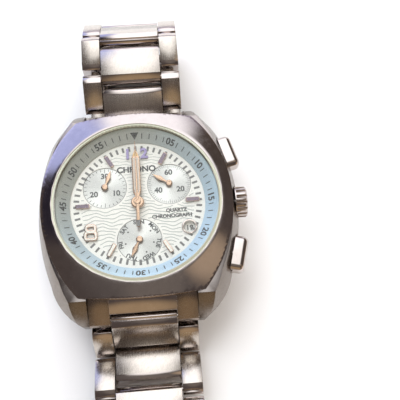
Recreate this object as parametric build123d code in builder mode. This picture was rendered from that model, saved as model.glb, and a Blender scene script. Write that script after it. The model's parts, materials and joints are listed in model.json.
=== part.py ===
from build123d import *
import math
import os

# Chronograph wristwatch on a steel bracelet, laid down with its bracelet open.
# Frame: X towards 3 o'clock, Y towards 12 o'clock, Z up out of the dial, millimetres.
# The origin is on the table, under the pivot of the hands; the clasp cover lies on the table.

# ---- driving dimensions -------------------------------------------------------------------
DIAL = 14.2            # height of the dial's face above the table
CRYSTAL_R = 17.5
CRYSTAL_TOP = DIAL + 3.3
CRYSTAL_FOOT = DIAL + 2.0
GASKET_W = 0.3
BEZEL_FOOT = DIAL + 0.8
BEZEL_CROWN = DIAL + 3.0     # height of the bezel at its inner rim
BEZEL_RIM = 18.0             # the bezel slopes outwards from here
BEZEL_REACH = 23.8           # and would run to here; its corners come just short of it
FLANGE_R = 17.2
DIAL_OPEN_R = 14.4
CAVITY_R = 16.6
CASE_MID = DIAL - 3.0        # widest section of the flanks
CASE_FOOT = DIAL - 7.4
FLANK_X = 21.6               # half width of the case at 3 o'clock
FLANK_R = 47.1               # plan radius of each flank
FLANK_LEAN = 1.4             # the flanks draw in by this much up to the bezel
FOOT_LEAN = 0.7              # and by this much down to the case back
LUG_LEAN = 1.6               # at the lugs they draw in by this many times as much
FLANK_Y = 16.0               # where the flank turns into the lug
UPPER_LUG = ((16.3, 20.1), (12.2, 24.1))     # middle and tip of each upper lug in plan
LOWER_LUG = ((16.9, 20.6), (12.6, 24.8))     # and of each lower lug
UPPER_LEAD = 0.7             # the upper lugs are this much shorter than the lower ones
BACK_FOOT = DIAL - 8.8
BACK_R = 17.4
STEM_Z = DIAL - 3.3
FIT = 0.05                   # radial running clearance

# bracelet
PITCH = 9.65                 # distance between hinge axes
LINK_HALF = 1.8              # half thickness
KNUCKLE = 1.27               # radius of the hinge ends
CENTRE_X = 6.7               # half width of the centre block
SIDE_IN = 6.85
SIDE_OUT = 10.95
PIN_R = 0.55
BAR_R = 0.75                 # spring bars in the lugs
CENTRE_END = 2.3             # centre block stops this far before the next hinge
SIDE_START = 2.15            # side blocks start this far after their hinge
UPPER_HINGE = (22.5, DIAL - 4.0)
LOWER_HINGE = (-23.8, DIAL - 4.0)
UPPER_ANGLES = (36, 7, -37, -103, -180, -180)
LOWER_ANGLES = (-60, 18, 14, -8, -27.6)
LUG_GAP = 11.2               # half distance between the lugs
BAR_HALF = LUG_GAP + 0.8     # half length of a spring bar, its tips in the lugs

# clasp, folded under the case
COVER_X = 9.2
COVER_T = 0.9
COVER_WALL = 4.6
ARM_T = 1.0

os.makedirs("parts", exist_ok=True)


def save(builder, name):
    builder.part.label = name
    export_step(builder.part, f"parts/{name}.step")


def disc(plane, radius, bore=0.0):
    """Round or ring-shaped face on a plane."""
    with BuildSketch(plane) as sketch:
        Circle(radius)
        if bore:
            Circle(bore, mode=Mode.SUBTRACT)
    return sketch.sketch


def level(height):
    return Plane.XY.offset(height)


# ---- case ---------------------------------------------------------------------------------
def cushion(plane):
    """Bezel outline: shallow arcs at 12 and 6, rounder arcs at 3 and 9, meeting in corners."""
    corner = (12.8, 19.9)
    top, side = 20.8, 20.2
    with BuildSketch(plane) as sketch:
        with BuildLine():
            ThreePointArc((-corner[0], corner[1]), (0, top), corner)
            ThreePointArc(corner, (side, 0), (corner[0], -corner[1]))
            ThreePointArc((corner[0], -corner[1]), (0, -top), (-corner[0], -corner[1]))
            ThreePointArc((-corner[0], -corner[1]), (-side, 0), (-corner[0], corner[1]))
        make_face()
        fillet(sketch.vertices(), 0.6)
    return sketch.sketch


def case_outline(plane, inset=0.0):
    """Plan of the case and lugs, without the bracelet gap; inset draws the flanks in."""
    bulge = FLANK_R - math.sqrt(FLANK_R ** 2 - FLANK_Y ** 2)
    flank = FLANK_X - inset
    shoulder = FLANK_X - bulge - LUG_LEAN * inset
    lugs = {}
    for sy, (lug_mid, tip) in ((1, UPPER_LUG), (-1, LOWER_LUG)):
        lugs[sy] = ((lug_mid[0] - LUG_LEAN * inset, lug_mid[1]), (tip[0] - inset / 2, tip[1] - inset / 4))
    with BuildSketch(plane) as sketch:
        with BuildLine():
            for sx in (1, -1):
                ThreePointArc((sx * shoulder, FLANK_Y), (sx * flank, 0), (sx * shoulder, -FLANK_Y))
                for sy, (lug_mid, tip) in lugs.items():
                    ThreePointArc(
                        (sx * shoulder, sy * FLANK_Y),
                        (sx * lug_mid[0], sy * lug_mid[1]),
                        (sx * tip[0], sy * tip[1]),
                    )
            for sy, (_, tip) in lugs.items():
                Line((-tip[0], sy * tip[1]), (tip[0], sy * tip[1]))
        make_face()
    return sketch.sketch


def push_plane(side, along=0.0):
    """Plane across a pusher, z out along its travel; side is 1 above 3 o'clock, -1 below."""
    tilt = math.radians(PUSH_TILT)
    out = Vector(math.cos(tilt), side * math.sin(tilt), 0)
    start = Vector(PUSH_X, side * PUSH_Y, STEM_Z)
    return Plane(origin=start + out * along, x_dir=(0, 0, 1), z_dir=out)


def crown_plane(x):
    """Plane across the winding stem."""
    return Plane(origin=(x, 0, STEM_Z), z_dir=(1, 0, 0))


TUBE_R = 1.25
PUSH_X = 20.25               # where a pusher's axis meets the flank
PUSH_Y = 11.9
PUSH_TILT = 15.0
CAP_LONG, CAP_HIGH = 8.0, 3.7
POCKET_DEEP = 1.9
PUSH_STEM_R = 0.9
CROWN_R, CROWN_BACK, CROWN_FACE = 3.4, 20.95, 23.5
CROWN_FLUTES = 16

with BuildPart() as case_middle:
    loft([case_outline(level(CASE_MID)), case_outline(level(BEZEL_FOOT), FLANK_LEAN)], ruled=True)
    loft([case_outline(level(CASE_FOOT), FOOT_LEAN), case_outline(level(CASE_MID))], ruled=True)
    # lugs fall away from the bezel to their tips
    for sy, lead in ((1, UPPER_LEAD), (-1, 0)):
        top = sy * (20.5 - lead / 2)
        low = sy * (25.6 - lead)
        with BuildSketch(Plane.YZ.offset(-30)) as lug_slope:
            with BuildLine():
                ThreePointArc((top, BEZEL_FOOT + 0.01), (sy * (23.3 - lead), DIAL - 1.75), (low, DIAL - 5.2))
                Polyline((low, DIAL - 5.2), (sy * 30, DIAL - 5.2), (sy * 30, DIAL + 5),
                         (top, DIAL + 5), (top, BEZEL_FOOT + 0.01))
            make_face()
        extrude(lug_slope.sketch, amount=60, mode=Mode.SUBTRACT)
        with BuildSketch(Plane.YZ.offset(-30)) as lug_under:
            with BuildLine():
                Polyline(
                    (sy * 19.5, CASE_FOOT - 1), (sy * 26, CASE_FOOT - 1), (sy * 26, CASE_FOOT + 1.4),
                    (sy * 19.5, CASE_FOOT), close=True,
                )
            make_face()
        extrude(lug_under.sketch, amount=60, mode=Mode.SUBTRACT)
        # room for the end link, curved round the case body
        with BuildSketch(level(0)) as lug_room:
            with Locations((0, sy * 22.5)):
                Rectangle(2 * LUG_GAP, 17)
            Circle(19.3, mode=Mode.SUBTRACT)
        extrude(lug_room.sketch, amount=40, mode=Mode.SUBTRACT)
    extrude(disc(level(CASE_FOOT - 1), CAVITY_R), amount=DIAL - CASE_FOOT + 1, mode=Mode.SUBTRACT)
    extrude(disc(level(DIAL), FLANGE_R + 0.1), amount=2, mode=Mode.SUBTRACT)
    # crown recess and tube bore
    extrude(disc(crown_plane(20.8), CROWN_R + 0.25), amount=4, mode=Mode.SUBTRACT)
    extrude(disc(crown_plane(14), TUBE_R), amount=10, mode=Mode.SUBTRACT)
    for side in (1, -1):
        with BuildSketch(push_plane(side, -POCKET_DEEP)) as pocket:
            RectangleRounded(CAP_HIGH + 0.4, CAP_LONG + 0.4, 1.4)
        extrude(pocket.sketch, amount=8, mode=Mode.SUBTRACT)
        extrude(disc(push_plane(side, -9), PUSH_STEM_R + FIT), amount=9, mode=Mode.SUBTRACT)
    # spring bar holes in the lugs
    for hinge in (UPPER_HINGE, LOWER_HINGE):
        bar_plane = Plane(origin=(-BAR_HALF, *hinge), z_dir=(1, 0, 0))
        extrude(disc(bar_plane, BAR_R), amount=2 * BAR_HALF, mode=Mode.SUBTRACT)
save(case_middle, "case_middle")

with BuildPart() as case_back:
    back_lip = CASE_FOOT + 1.0
    with BuildSketch(Plane.XZ) as back_profile:
        with BuildLine():
            Polyline(
                (0, BACK_FOOT), (15.6, BACK_FOOT), (BACK_R, BACK_FOOT + 0.7), (BACK_R, CASE_FOOT),
                (16.5, CASE_FOOT), (16.5, back_lip), (15.2, back_lip), (15.2, CASE_FOOT), (0, CASE_FOOT),
                close=True,
            )
        make_face()
    revolve(axis=Axis.Z)
    # six notches for the case opener
    with BuildSketch(level(BACK_FOOT)) as notches:
        with PolarLocations(16.2, 6):
            Rectangle(1.6, 2.4)
    extrude(amount=0.8, mode=Mode.SUBTRACT)
save(case_back, "case_back")

with BuildPart() as case_back_gasket:
    extrude(disc(level(back_lip), 16.4, 15.4), amount=0.5)
save(case_back_gasket, "case_back_gasket")

with BuildPart() as bezel:
    extrude(cushion(level(BEZEL_FOOT)), amount=3)
    with BuildSketch(Plane.XZ) as dome:
        with BuildLine():
            edge = (BEZEL_REACH, BEZEL_FOOT + 0.15)
            ThreePointArc((BEZEL_RIM, BEZEL_CROWN), (20.9, BEZEL_CROWN - 0.95), edge)
            Polyline(edge, (BEZEL_REACH, BEZEL_FOOT), (CRYSTAL_R - 0.2, BEZEL_FOOT),
                     (CRYSTAL_R - 0.2, CRYSTAL_FOOT - 0.1), (CRYSTAL_R + GASKET_W, CRYSTAL_FOOT - 0.1),
                     (CRYSTAL_R + GASKET_W, BEZEL_CROWN), (BEZEL_RIM, BEZEL_CROWN))
        make_face()
    revolve(axis=Axis.Z, mode=Mode.INTERSECT)
save(bezel, "bezel")

with BuildPart() as crystal:
    with BuildSketch(Plane.XZ) as crystal_profile:
        with BuildLine():
            Polyline((0, CRYSTAL_TOP), (0, CRYSTAL_FOOT), (CRYSTAL_R, CRYSTAL_FOOT),
                     (CRYSTAL_R, CRYSTAL_TOP - 0.45), (CRYSTAL_R - 0.35, CRYSTAL_TOP), close=True)
        make_face()
    revolve(axis=Axis.Z)
save(crystal, "crystal")

with BuildPart() as crystal_gasket:
    extrude(disc(level(CRYSTAL_FOOT), CRYSTAL_R + GASKET_W, CRYSTAL_R), amount=0.8)
save(crystal_gasket, "crystal_gasket")

with BuildPart() as flange_ring:
    with BuildSketch(Plane.XZ) as flange_profile:
        with BuildLine():
            Polyline((DIAL_OPEN_R, DIAL), (FLANGE_R, DIAL), (FLANGE_R, CRYSTAL_FOOT),
                     (FLANGE_R - 0.4, CRYSTAL_FOOT), (DIAL_OPEN_R, DIAL + 0.35), close=True)
        make_face()
    revolve(axis=Axis.Z)
save(flange_ring, "flange_ring")

# ---- dial ---------------------------------------------------------------------------------
SUB_X, SUB_Y = 6.92, 4.09
SUB_LOW_Y = -8.21
SUB_R = 4.75
SUBS = ((-SUB_X, SUB_Y), (SUB_X, SUB_Y), (0, SUB_LOW_Y))
DATE_AT = (10.6, -6.1)
DIAL_T = 0.4
PIPE_R = 0.9                 # hour hand's pipe
ARBOR_R = 0.3                # sub-dial arbors

with BuildPart() as dial:
    extrude(disc(level(DIAL - DIAL_T), CAVITY_R - 0.1), amount=DIAL_T)
    # the counters are sunk a little into the dial
    with BuildSketch(level(DIAL)):
        with Locations(*SUBS):
            Circle(SUB_R)
    extrude(amount=-0.12, mode=Mode.SUBTRACT)
    with BuildSketch(level(DIAL)):
        with Locations(*SUBS):
            Circle(ARBOR_R + FIT)
        with Locations(DATE_AT):
            Circle(1.25)
        Circle(PIPE_R + FIT)
    extrude(amount=-DIAL_T, mode=Mode.SUBTRACT)
save(dial, "dial")

with BuildPart() as date_frame:
    with BuildSketch(level(DIAL)):
        with Locations(DATE_AT):
            Circle(1.65)
            Circle(1.25, mode=Mode.SUBTRACT)
    extrude(amount=0.3)
save(date_frame, "date_frame")

MARK_IN, MARK_OUT, MARK_W, MARK_H = 10.2, 13.2, 0.9, 0.45
with BuildPart() as hour_markers:
    for hour in (1, 3, 5, 7, 9, 11):
        turn = Location((0, 0, 0), (0, 0, 1), -30 * hour)
        with BuildSketch(Plane(turn).offset(DIAL)) as baton:
            with Locations((0, (MARK_IN + MARK_OUT) / 2)):
                RectangleRounded(MARK_W, MARK_OUT - MARK_IN, 0.2)
        extrude(baton.sketch, amount=MARK_H)
    with BuildSketch(level(DIAL)) as eight:
        for y, wide, tall in ((0.8, 2.5, 1.9), (-0.85, 2.9, 2.2)):
            with Locations((-10.1, y - 5.9)):
                RectangleRounded(wide, tall, 0.75)
        for y, wide, tall in ((0.8, 1.2, 0.6), (-0.85, 1.6, 0.9)):
            with Locations((-10.1, y - 5.9)):
                RectangleRounded(wide, tall, 0.25, mode=Mode.SUBTRACT)
    extrude(eight.sketch, amount=MARK_H)
save(hour_markers, "hour_markers")


# ---- hands --------------------------------------------------------------------------------
def hand(points, height, thick, hub_r, pipe_r, bore_r, foot, at=(0, 0), turn=0.0):
    """Flat hand with a round hub on a pipe; points is its right edge from the tail to the tip."""
    place = Plane(Location((at[0], at[1], height), (0, 0, 1), -turn))
    with BuildPart() as made:
        with BuildSketch(place) as blade:
            with BuildLine():
                Polyline(*points, *[(-x, y) for x, y in reversed(points) if x > 0], close=True)
            make_face()
            Circle(hub_r)
        extrude(blade.sketch, amount=thick)
        extrude(disc(place, pipe_r), amount=foot - height)
        if bore_r:
            bore = disc(place.offset(foot - height), bore_r)
            extrude(bore, amount=height - foot + thick, mode=Mode.SUBTRACT)
    return made


# undersides of the hands; the central ones pass over the sub-dial ones
SUB_Z, HOUR_Z, MINUTE_Z, SECOND_Z = DIAL + 0.35, DIAL + 0.6, DIAL + 0.95, DIAL + 1.3
PLATE_TOP = DIAL - 1.0
PLATE_T = 1.2
MIN_PIPE, SEC_ARBOR = 0.57, 0.29
sword = [(0.22, 0), (0.3, 1.0), (0.85, 2.2), (0.85, 5.6), (0, 7.4)]
save(hand(sword, HOUR_Z, 0.2, 1.4, PIPE_R, MIN_PIPE + FIT, PLATE_TOP - 0.4), "hour_hand")
sword = [(0.25, 0), (0.35, 1.0), (0.88, 2.6), (0.88, 10.5), (0, 12.6)]
save(hand(sword, MINUTE_Z, 0.2, 1.25, MIN_PIPE, SEC_ARBOR + FIT, PLATE_TOP - 0.8), "minute_hand")
needle = [(0.4, -5.8), (0.46, -5.4), (0.46, -4.3), (0.36, -4.0), (0.36, -1.0), (0.28, 0), (0.2, 1.0),
          (0.08, 14.2)]
save(hand(needle, SECOND_Z, 0.15, 0.65, SEC_ARBOR, 0, PLATE_TOP - PLATE_T), "chrono_seconds_hand")
SUB_HANDS = (
    ("minute_counter_hand", SUBS[0], 20, 4.1),
    ("small_seconds_hand", SUBS[1], 304, 4.3),
    ("day_hand", SUBS[2], 206, 4.2),
)
for name, at, turn, reach in SUB_HANDS:
    leaf = [(0.2, 0), (0.22, 1.0), (0.56, 2.3), (0, reach)]
    save(hand(leaf, SUB_Z, 0.15, 0.75, ARBOR_R, 0, PLATE_TOP - 0.8, at, turn), name)

# ---- movement -----------------------------------------------------------------------------
DATE_IN, DATE_OUT = 10.9, 13.6
with BuildPart() as date_ring:
    extrude(disc(level(DIAL - 0.85), DATE_OUT, DATE_IN), amount=0.25)
save(date_ring, "date_ring")

with BuildPart() as main_plate:
    extrude(disc(level(PLATE_TOP - PLATE_T), 14.6), amount=PLATE_T)
    extrude(disc(level(PLATE_TOP), 14.6, DATE_OUT + 0.1), amount=0.5)
    with BuildSketch(level(PLATE_TOP)):
        with Locations(*SUBS):
            Circle(ARBOR_R + FIT)
        Circle(PIPE_R + FIT)
    extrude(amount=-PLATE_T, mode=Mode.SUBTRACT)
save(main_plate, "main_plate")

BRIDGE_Z = DIAL - 4.6
with BuildPart() as train_bridge:
    extrude(disc(level(BRIDGE_Z), 9.6), amount=0.8)
    with BuildSketch(level(BRIDGE_Z + 0.8)):
        with PolarLocations(8.6, 3, start_angle=90):
            Circle(0.8)
    extrude(amount=PLATE_TOP - PLATE_T - BRIDGE_Z - 0.8)
save(train_bridge, "train_bridge")

BOARD_Z = DIAL - 5.2
with BuildPart() as circuit_board:
    extrude(disc(level(BOARD_Z), 14.2), amount=0.4)
    with BuildSketch(level(BOARD_Z)):
        with Locations((-7.6, -5.6)):
            Circle(5.0)
    extrude(amount=0.4, mode=Mode.SUBTRACT)
save(circuit_board, "circuit_board")

with BuildPart() as coin_cell:
    with BuildSketch(level(DIAL - 7.2)):
        with Locations((-7.6, -5.6)):
            Circle(4.75)
    extrude(amount=2.1)
save(coin_cell, "coin_cell")

MOTORS = ((4.5, 10.6), (-4.5, 10.6), (4.5, -10.6))
with BuildPart() as stepper_motors:
    with BuildSketch(level(BRIDGE_Z + 0.1)):
        with Locations(*MOTORS):
            Rectangle(6.0, 1.6)
    extrude(amount=1.4)
save(stepper_motors, "stepper_motors")

with BuildPart() as movement_holder:
    extrude(disc(level(DIAL - 5.7), 16.2, 14.7), amount=5.2)
    extrude(disc(crown_plane(13), 1.2), amount=5, mode=Mode.SUBTRACT)
save(movement_holder, "movement_holder")

# ---- crown and pushers --------------------------------------------------------------------
TUBE_IN, TUBE_OUT = 16.9, 20.7
STEM_R = 0.8

with BuildPart() as crown_tube:
    extrude(disc(crown_plane(TUBE_IN), TUBE_R, STEM_R + FIT), amount=TUBE_OUT - TUBE_IN)
save(crown_tube, "crown_tube")

with BuildPart() as stem:
    extrude(disc(crown_plane(11.8), STEM_R), amount=CROWN_FACE - 1.0 - 11.8)
    extrude(disc(crown_plane(12.9), 2 * STEM_R, 0.5), amount=0.5, mode=Mode.SUBTRACT)
save(stem, "stem")

with BuildPart() as setting_lever:
    with BuildSketch(crown_plane(13.0)) as fork:
        with Locations((0, -1.2)):
            Rectangle(2.0, 3.6)
        Circle(0.5 + FIT, mode=Mode.SUBTRACT)
        with Locations((0, 1.0)):
            Rectangle(1.1, 2.0, mode=Mode.SUBTRACT)
    extrude(fork.sketch, amount=0.3)
save(setting_lever, "setting_lever")

with BuildPart() as crown:
    extrude(disc(crown_plane(CROWN_BACK), CROWN_R), amount=CROWN_FACE - CROWN_BACK)
    chamfer(crown.faces().sort_by(Axis.X)[-1].edges(), 0.35)
    with BuildSketch(crown_plane(CROWN_BACK + 0.25)) as flutes:
        with PolarLocations(CROWN_R + 0.1, CROWN_FLUTES):
            Circle(0.42)
    extrude(flutes.sketch, amount=CROWN_FACE, mode=Mode.SUBTRACT)
    extrude(disc(crown_plane(CROWN_BACK), STEM_R), amount=CROWN_FACE - 1.0 - CROWN_BACK, mode=Mode.SUBTRACT)
save(crown, "crown")

CAP_IN, CAP_OUT = -0.9, 2.0
SPRING_R, SPRING_WIRE = 1.25, 0.14
for side, name in ((1, "upper_pusher"), (-1, "lower_pusher")):
    with BuildPart() as pusher:
        with BuildSketch(push_plane(side, CAP_IN)) as cap:
            RectangleRounded(CAP_HIGH, CAP_LONG, 1.5)
        extrude(cap.sketch, amount=CAP_OUT - CAP_IN)
        face = pusher.faces().sort_by(Axis(push_plane(side).origin, push_plane(side).z_dir))[-1]
        fillet(face.edges(), 1.2)
        extrude(disc(push_plane(side, CAP_IN), 1.55), amount=1.5, mode=Mode.SUBTRACT)
        extrude(disc(push_plane(side, -5.8), PUSH_STEM_R), amount=6.6)
    save(pusher, name)

with BuildPart() as pusher_springs:
    for side in (1, -1):
        base = push_plane(side, 0.1 - POCKET_DEEP + SPRING_WIRE)
        coil = Helix(pitch=0.5, height=2.0, radius=SPRING_R)
        coil = base.location * coil
        with BuildSketch(Plane(origin=coil @ 0, z_dir=coil % 0)) as wire:
            Circle(SPRING_WIRE)
        sweep(wire.sketch, path=coil)
save(pusher_springs, "pusher_springs")


# ---- bracelet -----------------------------------------------------------------------------
def link_plane(hinge, angle, side, across=0.0):
    """Plane of a link's profile: x along the link from its hinge, y out of the bracelet."""
    turn = math.radians(angle)
    along = (0, side * math.cos(turn), math.sin(turn))
    return Plane(origin=(0, hinge[0], hinge[1]), x_dir=along, z_dir=(side, 0, 0)).offset(across)


def next_hinge(hinge, angle, side, length=PITCH):
    turn = math.radians(angle)
    return (hinge[0] + side * length * math.cos(turn), hinge[1] + length * math.sin(turn))


def polar(radius, degrees, centre=0.0):
    turn = math.radians(degrees)
    return (centre + radius * math.cos(turn), radius * math.sin(turn))


BEVEL = 1.1


def centre_profile(plane, length=PITCH):
    """Centre block: knuckle round its own hinge, bevelled ends."""
    h, end = LINK_HALF, length - CENTRE_END
    with BuildSketch(plane) as sketch:
        with BuildLine():
            ThreePointArc(polar(KNUCKLE, 285), polar(KNUCKLE, 210), polar(KNUCKLE, 150))
            Polyline(polar(KNUCKLE, 150), (-0.72, 0.72), (-0.78, 1.0), (0.35, h), (end - BEVEL, h),
                     (end, h - 0.6), (end, 0.4 - h), (end - 0.4, -h), (0.9, -h), polar(KNUCKLE, 285))
        make_face()
    return sketch.sketch


def side_profile(plane, length=PITCH):
    """Side block: knuckle round the next hinge."""
    h, start = LINK_HALF, SIDE_START
    with BuildSketch(plane) as sketch:
        with BuildLine():
            ends = [polar(KNUCKLE, turn, length) for turn in (-105, -30, 30)]
            ThreePointArc(*ends)
            Polyline(polar(KNUCKLE, 30, length), (length + 0.72, 0.72), (length + 0.78, 1.0),
                     (length - 0.35, h), (start + BEVEL, h), (start, h - 0.6), (start, 0.4 - h),
                     (start + 0.4, -h), (length - 0.9, -h), polar(KNUCKLE, -105, length))
        make_face()
    return sketch.sketch


def cross_rod(plane, at, radius, half):
    """Rod across the bracelet through a point of a link's profile."""
    with BuildSketch(plane.offset(-half)) as sketch:
        with Locations(at):
            Circle(radius)
    return sketch.sketch


def link(hinge, angle, side, bore):
    """One bracelet unit: a centre block and two side blocks on a hidden rod."""
    plane = link_plane(hinge, angle, side)
    wide = SIDE_OUT - SIDE_IN
    with BuildPart() as made:
        extrude(centre_profile(plane), amount=CENTRE_X, both=True)
        extrude(side_profile(plane.offset(SIDE_IN)), amount=wide)
        extrude(side_profile(plane.offset(-SIDE_OUT)), amount=wide)
        middle = (PITCH - CENTRE_END + SIDE_START) / 2
        extrude(cross_rod(plane, (middle, -0.3), 0.9, SIDE_IN + 0.5), amount=2 * SIDE_IN + 1)
        extrude(cross_rod(plane, (0, 0), bore, CENTRE_X), amount=2 * CENTRE_X, mode=Mode.SUBTRACT)
        extrude(cross_rod(plane, (PITCH, 0), PIN_R, SIDE_OUT), amount=2 * SIDE_OUT, mode=Mode.SUBTRACT)
    return made


def pin(hinge, half, radius=PIN_R):
    with BuildPart() as made:
        extrude(disc(Plane(origin=(-half, *hinge), z_dir=(1, 0, 0)), radius), amount=2 * half)
    return made


for half_name, start, angles, side in (
    ("upper", UPPER_HINGE, UPPER_ANGLES, 1),
    ("lower", LOWER_HINGE, LOWER_ANGLES, -1),
):
    hinge = start
    for number, angle in enumerate(angles, 1):
        bore = (BAR_R if number == 1 else PIN_R) + FIT
        save(link(hinge, angle, side, bore), f"{half_name}_link_{number}")
        hinge = next_hinge(hinge, angle, side)
        if half_name == "upper" or number < len(angles):
            save(pin(hinge, SIDE_OUT - 0.25), f"{half_name}_pin_{number}")
    if half_name == "upper":
        CLASP_HINGE = hinge

with BuildPart() as spring_bars:
    for hinge in (UPPER_HINGE, LOWER_HINGE):
        extrude(disc(Plane(origin=(-BAR_HALF, *hinge), z_dir=(1, 0, 0)), BAR_R), amount=2 * BAR_HALF)
save(spring_bars, "spring_bars")

for name, hinge, side in (("upper_end_link", UPPER_HINGE, 1), ("lower_end_link", LOWER_HINGE, -1)):
    y, z = hinge
    inner = side * 12
    foot = z - KNUCKLE
    nose = (y - side * 0.85, z + 2.05)
    with BuildPart() as end_link:
        # side pieces carry the spring bar
        for across in (SIDE_IN, -LUG_GAP + 0.1):
            with BuildSketch(Plane.YZ.offset(across)) as cheek:
                with BuildLine():
                    Polyline((inner, DIAL + 0.5), (inner, foot), (y, foot))
                    ThreePointArc((y, foot), (y + side * KNUCKLE, z), (y + side * 0.9, z + 0.9))
                    Line((y + side * 0.9, z + 0.9), (y - side, z + 2.45))
                    ThreePointArc((y - side, z + 2.45), (y - side * 2.6, z + 3.65), (y - side * 4.4, DIAL + 0.5))
                    Line((y - side * 4.4, DIAL + 0.5), (inner, DIAL + 0.5))
                make_face()
            extrude(cheek.sketch, amount=LUG_GAP - 0.1 - SIDE_IN)
        with BuildSketch(Plane.YZ.offset(-SIDE_IN)) as middle:
            with BuildLine():
                Polyline((inner, DIAL + 0.2), (inner, foot), (y - side * CENTRE_END, foot),
                         (y - side * CENTRE_END, z + 1.1), (y - side * 1.35, z + 1.5),
                         (y - side * 0.9, z + 1.9), nose)
                ThreePointArc(nose, (y - side * 2.6, z + 3.4), (y - side * 4.4, DIAL + 0.2))
                Line((y - side * 4.4, DIAL + 0.2), (inner, DIAL + 0.2))
            make_face()
        extrude(middle.sketch, amount=2 * SIDE_IN)
        extrude(disc(level(0), 19.4), amount=40, mode=Mode.SUBTRACT)
        bar_plane = Plane(origin=(-LUG_GAP, *hinge), z_dir=(1, 0, 0))
        extrude(disc(bar_plane, BAR_R), amount=2 * LUG_GAP, mode=Mode.SUBTRACT)
    save(end_link, name)

# ---- clasp --------------------------------------------------------------------------------
ARM_X = 6.2
OUTER_X = 7.6
COVER_BACK = CLASP_HINGE[0] - 2.4      # end of the cover next to the bracelet
COVER_FRONT = COVER_BACK - 37.0
ARM_HINGE = (COVER_FRONT + 4.5, 3.35)  # where the two arms meet
COVER_HINGE = (COVER_BACK - 4.5, 2.55)
INNER_Z = 4.0                          # underside of the inner arm
OUTER_Z = 1.75                         # underside of the outer arm
EYE = 1.2


def arm_profile(points):
    with BuildSketch(Plane.YZ) as sketch:
        with BuildLine():
            Polyline(*points, close=True)
        make_face()
    return sketch.sketch


with BuildPart() as fold_arm_inner:
    y0, z0 = CLASP_HINGE
    y1, z1 = ARM_HINGE
    extrude(arm_profile([(y0 + 0.4, z0 - 1.0), (y0 + 0.4, z0 + 0.7), (y0 - 3.2, INNER_Z + ARM_T),
                         (y1, INNER_Z + ARM_T), (y1, INNER_Z), (y0 - 3.5, INNER_Z), (y0 - 0.9, z0 - 1.0)]),
            amount=ARM_X, both=True)
    for y, z, r in ((y0, z0, KNUCKLE), (y1, z1, EYE)):
        extrude(disc(Plane(origin=(-ARM_X, y, z), z_dir=(1, 0, 0)), r), amount=2 * ARM_X)
    extrude(arm_profile([(y1 - EYE, z1), (y1 - EYE, INNER_Z + 0.2), (y1, INNER_Z + ARM_T),
                         (y1 + EYE, INNER_Z + 0.5), (y1 + EYE, z1)]), amount=ARM_X, both=True)
    for y, z in (CLASP_HINGE, ARM_HINGE):
        extrude(disc(Plane(origin=(-ARM_X, y, z), z_dir=(1, 0, 0)), PIN_R + (FIT if y == y0 else 0)),
                amount=2 * ARM_X, mode=Mode.SUBTRACT)
save(fold_arm_inner, "fold_arm_inner")

with BuildPart() as fold_arm_outer:
    y2, z2 = COVER_HINGE
    plate = arm_profile([(y1, OUTER_Z), (y1, OUTER_Z + ARM_T), (y2, OUTER_Z + ARM_T), (y2, OUTER_Z)])
    extrude(plate, amount=OUTER_X, both=True)
    # the inner arm's eye sits between the two ears
    with BuildSketch(level(0)) as eye_room:
        with Locations((0, y1)):
            Rectangle(2 * ARM_X + 0.3, 2 * EYE + 0.5)
    extrude(eye_room.sketch, amount=10, mode=Mode.SUBTRACT)
    for x in (ARM_X + 0.15, -OUTER_X):
        extrude(disc(Plane(origin=(x, y1, z1), z_dir=(1, 0, 0)), EYE), amount=OUTER_X - ARM_X - 0.15)
        ear = arm_profile([(y1 - EYE, z1), (y1, OUTER_Z), (y1 + EYE, OUTER_Z), (y1 + EYE, z1)])
        extrude(ear.moved(Location((x, 0, 0))), amount=OUTER_X - ARM_X - 0.15)
    extrude(disc(Plane(origin=(-OUTER_X, y2, z2), z_dir=(1, 0, 0)), EYE), amount=2 * OUTER_X)
    extrude(disc(Plane(origin=(-OUTER_X, y1, z1), z_dir=(1, 0, 0)), PIN_R + FIT), amount=2 * OUTER_X,
            mode=Mode.SUBTRACT)
    extrude(disc(Plane(origin=(-OUTER_X, y2, z2), z_dir=(1, 0, 0)), PIN_R + FIT), amount=2 * OUTER_X,
            mode=Mode.SUBTRACT)
save(fold_arm_outer, "fold_arm_outer")

save(pin(ARM_HINGE, OUTER_X), "arm_pin")

BAR_END_Y = COVER_FRONT + 1.6
with BuildPart() as clasp_cover:
    with BuildSketch(level(0)) as cover_plan:
        with Locations((0, (COVER_BACK + COVER_FRONT) / 2)):
            RectangleRounded(2 * COVER_X, COVER_BACK - COVER_FRONT, 1.0)
    extrude(cover_plan.sketch, amount=COVER_WALL)
    chamfer(clasp_cover.faces().sort_by(Axis.Z)[0].edges(), 0.35)
    with BuildSketch(level(COVER_T)) as channel:
        with Locations((0, (COVER_BACK + COVER_FRONT) / 2)):
            Rectangle(2 * (COVER_X - 1.0), COVER_BACK - COVER_FRONT + 1)
    extrude(channel.sketch, amount=COVER_WALL, mode=Mode.SUBTRACT)
    for y, z in (COVER_HINGE, (BAR_END_Y, 2.4)):
        extrude(disc(Plane(origin=(-COVER_X, y, z), z_dir=(1, 0, 0)), PIN_R), amount=2 * COVER_X,
                mode=Mode.SUBTRACT)
save(clasp_cover, "clasp_cover")

with BuildPart() as cover_bars:
    for y, z in (COVER_HINGE, (BAR_END_Y, 2.4)):
        extrude(disc(Plane(origin=(0.2 - COVER_X, y, z), z_dir=(1, 0, 0)), PIN_R), amount=2 * COVER_X - 0.4)
save(cover_bars, "cover_bars")
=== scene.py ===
import json
import math

import bmesh
import bpy
from mathutils import Matrix, Vector


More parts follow.
